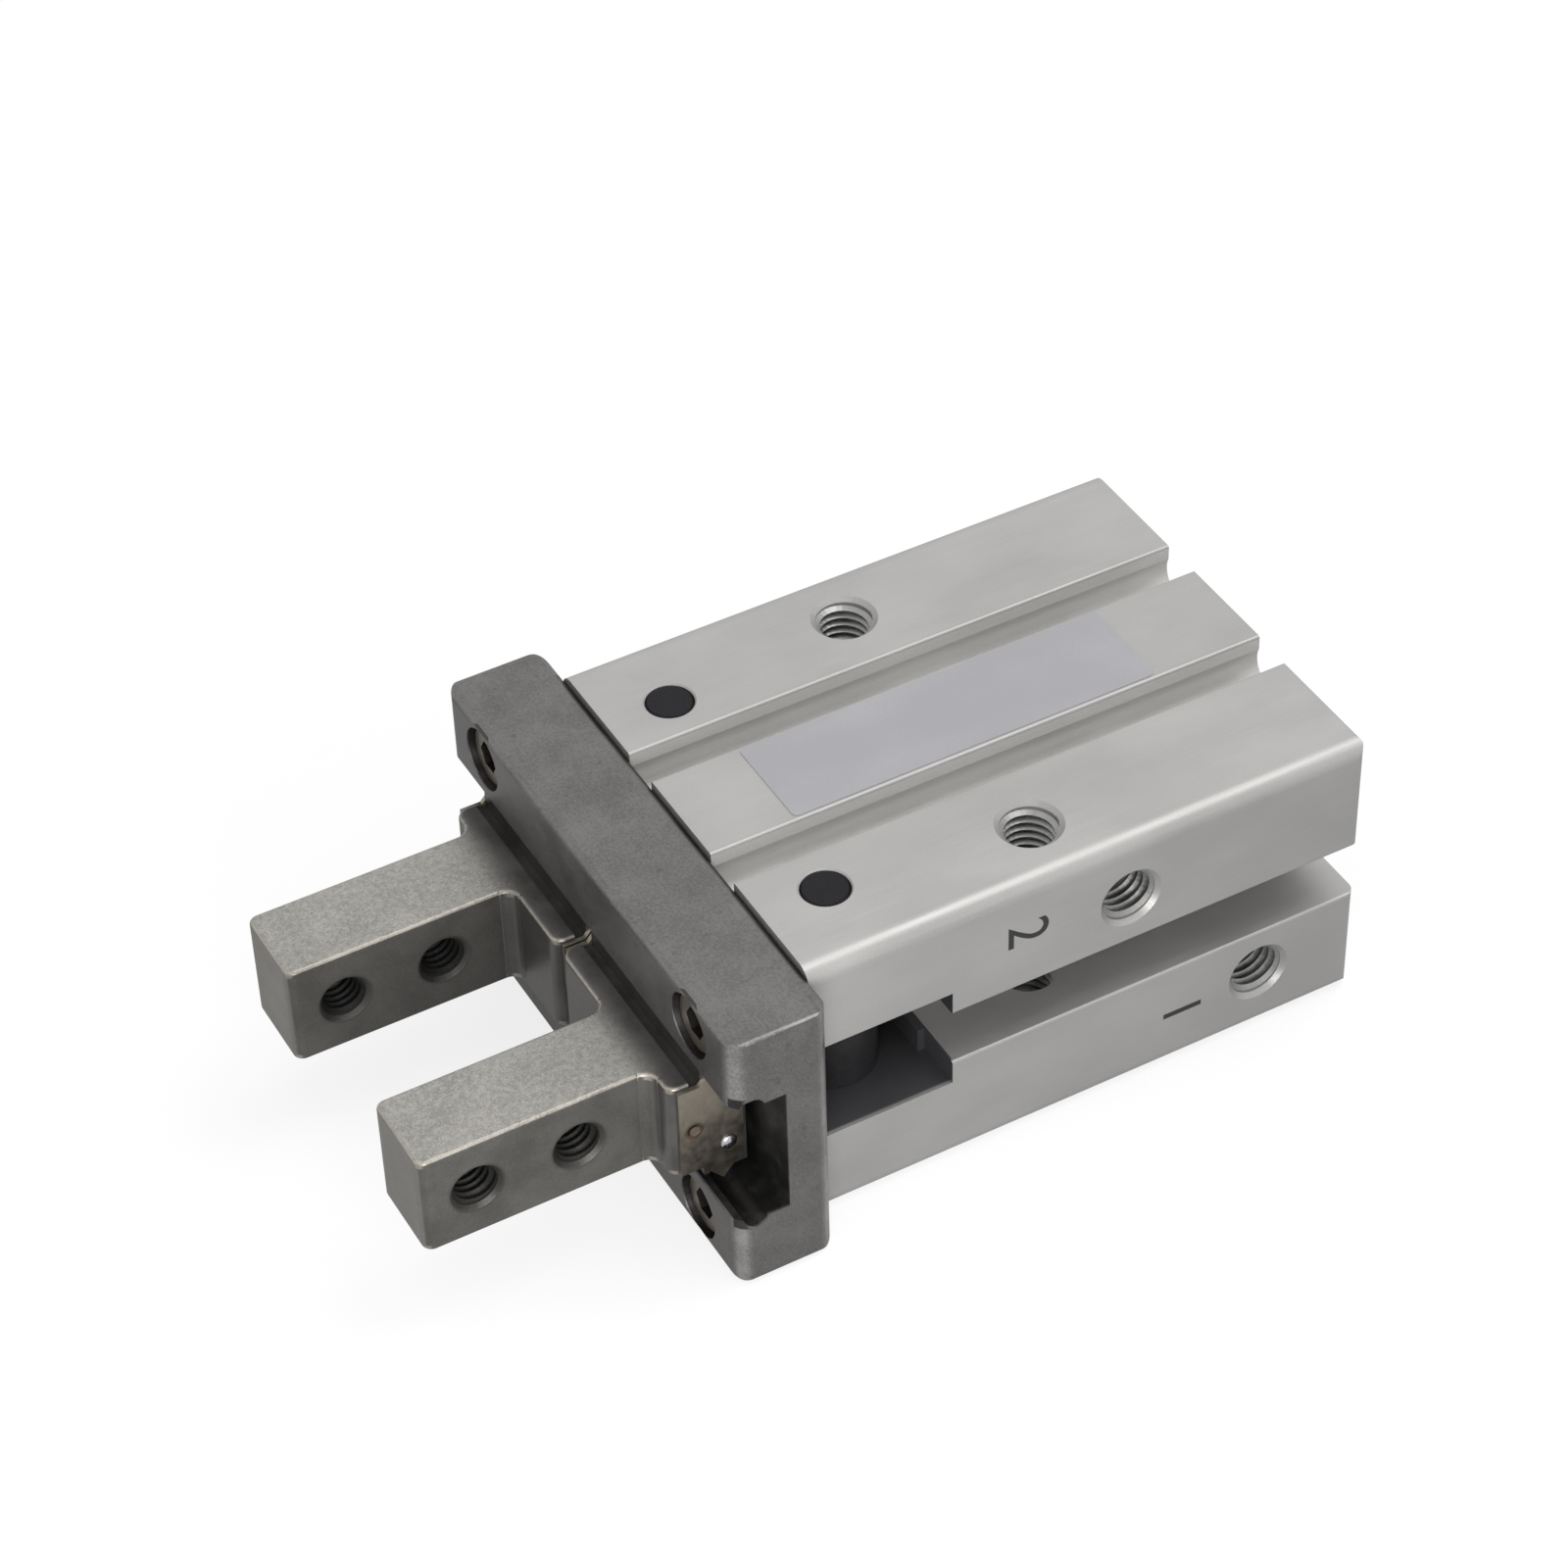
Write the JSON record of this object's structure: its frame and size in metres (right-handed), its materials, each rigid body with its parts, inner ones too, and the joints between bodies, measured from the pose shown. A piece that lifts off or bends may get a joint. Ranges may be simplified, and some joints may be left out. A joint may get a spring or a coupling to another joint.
{
  "type": "pneumatic parallel gripper",
  "caption": "Air-driven parallel gripper: a piston in a slotted aluminium body turns levers that slide two tapped fingers apart along a ball guide.",
  "frame": {"origin": "centre of the rear pilot bore in the plane of the rear mounting face", "axes": "+X forward along the fingers, +Y to the side with the air ports, +Z to the face with the sticker"},
  "size_m": [0.0848, 0.05, 0.0277],
  "materials": {
    "housing_alloy": "satin, clear anodised, with fine lengthwise lines",
    "turned_alloy": "turned",
    "guide_steel": "ground and hardened, dull grey",
    "finger_steel": "fine blasted",
    "lever_steel": "sintered, matt",
    "dark_steel": "hardened, ground ends",
    "screw_steel": "machine finish",
    "spring_steel": "phosphated",
    "stopper_steel": "rolled sheet",
    "rod_chrome": "ground and hard chromed",
    "ball_steel": "polished",
    "magnet": "sintered, matt",
    "seal_rubber": "moulded, matt",
    "bumper_rubber": "moulded, matt",
    "sticker_film": "bare silver film"
  },
  "bodies": {
    "housing": {"body": "housing_alloy", "guide": "guide_steel", "guide_screws": "screw_steel", "lever_shaft_left": "dark_steel", "lever_shaft_right": "dark_steel", "end_cap": "turned_alloy", "cap_gasket": "seal_rubber", "retaining_ring": "spring_steel", "rod_seal": "seal_rubber", "seal_retainer": "turned_alloy", "front_bumper": "bumper_rubber", "rear_bumper": "bumper_rubber", "name_sticker": "sticker_film"},
    "piston": {"piston": "turned_alloy", "piston_rod": "rod_chrome", "piston_seal": "seal_rubber", "magnet_ring": "magnet", "rod_pin": "dark_steel"},
    "left_finger": {"finger_left": "finger_steel", "outer_stopper_left": "stopper_steel", "inner_stopper_left": "stopper_steel", "stopper_rivets_left": "ball_steel"},
    "left_lever": {"lever_left": "lever_steel"},
    "left_balls": {"upper_balls_left": "ball_steel", "lower_balls_left": "ball_steel"},
    "right_finger": {"finger_right": "finger_steel", "outer_stopper_right": "stopper_steel", "inner_stopper_right": "stopper_steel", "stopper_rivets_right": "ball_steel"},
    "right_lever": {"lever_right": "lever_steel"},
    "right_balls": {"upper_balls_right": "ball_steel", "lower_balls_right": "ball_steel"}
  },
  "joints": [
    {"name": "piston_slide", "type": "slide", "parent": "housing", "child": "piston", "axis": [1, 0, 0], "range_m": [0, 0.00498]},
    {"name": "left_finger_slide", "type": "slide", "parent": "housing", "child": "left_finger", "axis": [0, 1, 0], "range_m": [0, 0.005]},
    {"name": "left_lever_pivot", "type": "hinge", "parent": "housing", "child": "left_lever", "pos_m": [0.0466, 0.0131, 0], "axis": [0, 0, 1], "range_deg": [0, 21.5]},
    {"name": "left_balls_slide", "type": "slide", "parent": "housing", "child": "left_balls", "axis": [0, 1, 0], "range_m": [0, 0.0025]},
    {"name": "right_finger_slide", "type": "slide", "parent": "housing", "child": "right_finger", "axis": [0, -1, 0], "range_m": [0, 0.005]},
    {"name": "right_lever_pivot", "type": "hinge", "parent": "housing", "child": "right_lever", "pos_m": [0.0466, -0.0131, 0], "axis": [0, 0, -1], "range_deg": [0, 21.5]},
    {"name": "right_balls_slide", "type": "slide", "parent": "housing", "child": "right_balls", "axis": [0, -1, 0], "range_m": [0, 0.0025]}
  ],
  "couplings": [
    {"joint": "left_finger_slide", "follows": "piston_slide", "ratio": 1.005},
    {"joint": "left_lever_pivot", "follows": "piston_slide", "rad_per_m": 75.44},
    {"joint": "left_balls_slide", "follows": "piston_slide", "ratio": 0.50251},
    {"joint": "right_finger_slide", "follows": "piston_slide", "ratio": 1.005},
    {"joint": "right_lever_pivot", "follows": "piston_slide", "rad_per_m": 75.44},
    {"joint": "right_balls_slide", "follows": "piston_slide", "ratio": 0.50251}
  ]
}
